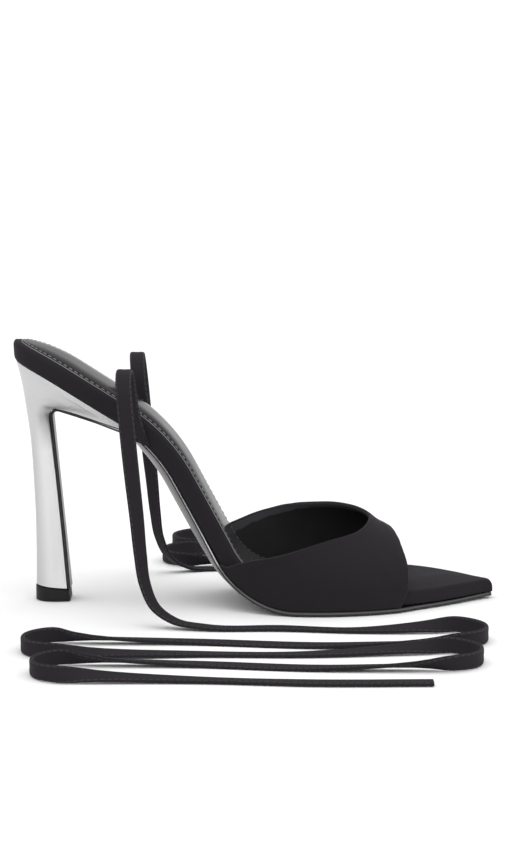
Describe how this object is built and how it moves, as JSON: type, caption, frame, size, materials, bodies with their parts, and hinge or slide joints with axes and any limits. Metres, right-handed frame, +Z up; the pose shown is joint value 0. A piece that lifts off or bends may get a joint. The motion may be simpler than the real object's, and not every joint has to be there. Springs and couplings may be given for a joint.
{
  "type": "high-heeled sandal",
  "caption": "Right-foot high-heeled sandal with an open pointed toe, a wide satin toe strap, a slim slanting heel and long flat ankle ties lying loose beside it.",
  "frame": {"origin": "on the floor under the middle of the shoe's box, measured without the loose ties", "axes": "+X to the toe, +Y to the inner (medial) side of the right foot, +Z up from the floor"},
  "size_m": [0.2101, 0.3508, 0.115],
  "materials": {
    "satin": "black satin with a soft sheen",
    "sock_leather": "glossy black lining leather",
    "sole_leather": "polished black sole",
    "silver": "silver metallic coat",
    "rubber": "matte black"
  },
  "bodies": {
    "root": {"insole": "satin", "sock": "sock_leather", "vamp": "satin", "outsole": "sole_leather", "heel": "silver", "top_piece": "rubber", "ankle_tie_lateral": "satin", "ankle_tie_medial": "satin"}
  },
  "joints": []
}
